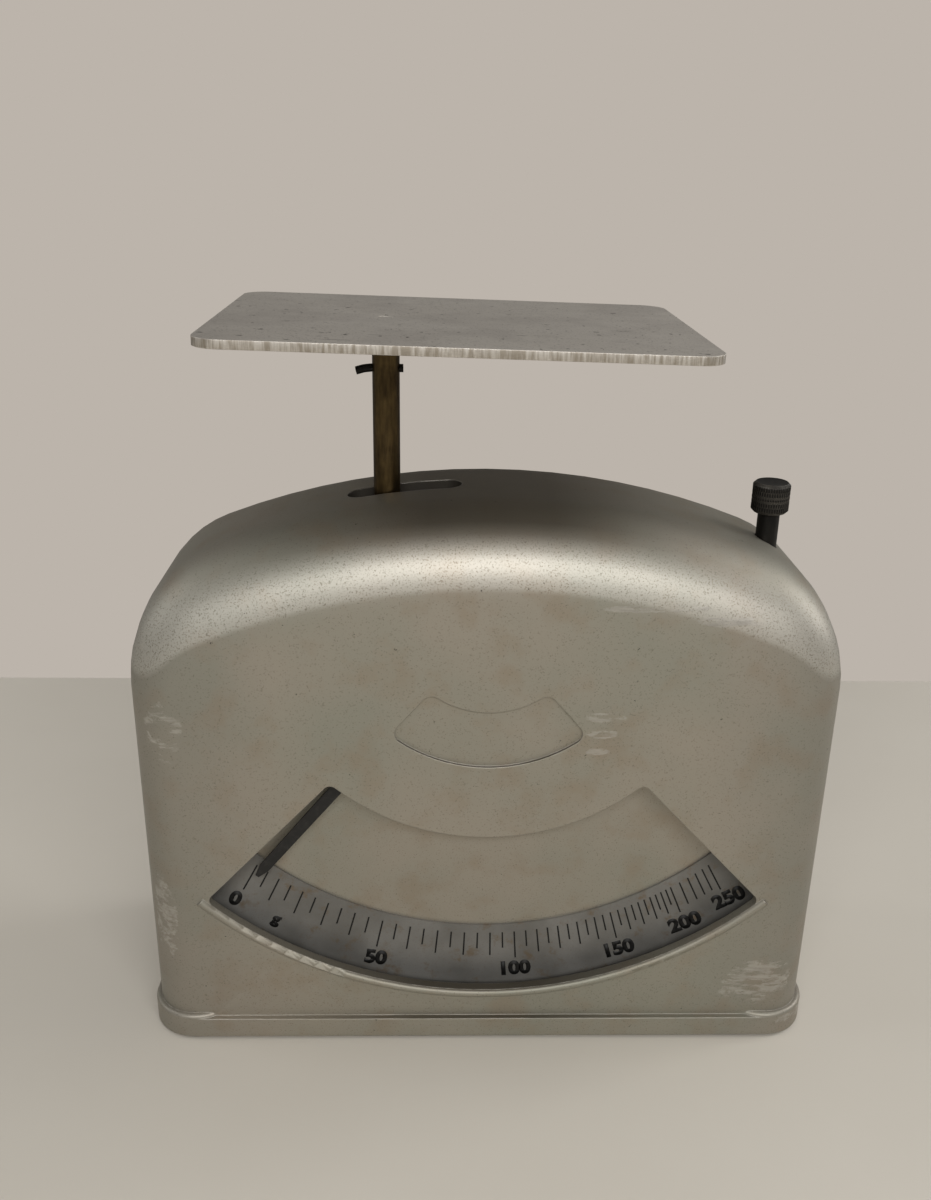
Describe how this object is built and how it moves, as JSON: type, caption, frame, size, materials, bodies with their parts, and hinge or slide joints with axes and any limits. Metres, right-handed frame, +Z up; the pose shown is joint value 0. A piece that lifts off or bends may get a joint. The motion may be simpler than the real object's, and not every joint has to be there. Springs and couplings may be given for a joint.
{
  "type": "self-indicating pendulum letter and prescription balance",
  "caption": "Small table balance in a domed cast casing: a load on the top platform turns a pendulum lever whose needle reads grams on a fan dial.",
  "frame": {"origin": "centre of the footprint, on the table under the feet", "axes": "+Z up, -Y towards the dial and the reader, +X to the reader's right"},
  "size_m": [0.1424, 0.0656, 0.1496],
  "materials": {
    "casing": "aged satin silver paint on a casting",
    "steel": "bright turned steel",
    "black_steel": "blackened steel",
    "needle_black": "matt black paint",
    "platform": "dull bare sheet with pits and scratches",
    "column": "dark aged brass tube",
    "brass": "plain brass",
    "lever_metal": "plain cast aluminium",
    "dial": "grey printed metal",
    "back_plate": "satin silver paint",
    "base_plate": "dark primer on sheet steel",
    "cheeks": "plated sheet steel",
    "rubber": "black rubber"
  },
  "bodies": {
    "housing": {"casing": "casing", "base_plate": "base_plate", "base_screws": "steel", "rubber_feet": "rubber", "dial_back_plate": "back_plate", "dial_strip": "dial", "dial_rivets": "steel", "dial_screws": "steel", "rocker_bracket": "base_plate", "bracket_screws": "steel", "rocker_pin": "steel", "screw_bush": "brass"},
    "frame": {"front_cheek": "cheeks", "rear_cheek": "cheeks", "cheek_posts": "steel", "cheek_screws": "steel", "arbor_bushes": "brass", "stay_pin": "steel", "stop_pins": "steel"},
    "balance": {"arbor": "steel", "lever": "lever_metal", "upper_link_pin": "steel", "weight_rod": "steel", "counterweight": "brass", "weight_lock_nut": "steel", "needle_hub": "needle_black", "needle": "needle_black"},
    "carrier": {"column": "column", "lower_link_pin": "steel", "platform": "platform", "platform_stud": "platform", "cross_pin": "black_steel"},
    "stay": {"stay_link": "lever_metal"},
    "adjuster": {"thumb_screw": "black_steel", "retaining_collar": "steel"},
    "traveller": {"traveller_nut": "brass"}
  },
  "joints": [
    {"name": "zero_screw_turn", "type": "hinge", "parent": "housing", "child": "adjuster", "pos_m": [0.0572, 0, 0.1], "axis": [0, 0, 1], "range_deg": [-720, 720]},
    {"name": "traveller_slide", "type": "slide", "parent": "housing", "child": "traveller", "axis": [0, 0, 1], "range_m": [-0.001, 0.001]},
    {"name": "frame_rock", "type": "hinge", "parent": "housing", "child": "frame", "pos_m": [0, 0, 0.012], "axis": [0, -1, 0], "range_deg": [-1, 1]},
    {"name": "balance_swing", "type": "hinge", "parent": "frame", "child": "balance", "pos_m": [0, 0, 0.0955], "axis": [0, -1, 0], "range_deg": [-2, 80.98]},
    {"name": "carrier_pivot", "type": "hinge", "parent": "balance", "child": "carrier", "pos_m": [-0.0203, 0, 0.10289], "axis": [0, -1, 0], "range_deg": [-80.98, 2]},
    {"name": "stay_swing", "type": "hinge", "parent": "frame", "child": "stay", "pos_m": [0, 0, 0.0355], "axis": [0, -1, 0], "range_deg": [-2, 80.98]}
  ],
  "couplings": [
    {"joint": "carrier_pivot", "follows": "balance_swing", "ratio": -1},
    {"joint": "stay_swing", "follows": "balance_swing", "ratio": 1},
    {"joint": "traveller_slide", "follows": "zero_screw_turn", "m_per_rad": -0.000079577},
    {"joint": "frame_rock", "follows": "zero_screw_turn", "ratio": -0.0013912}
  ]
}
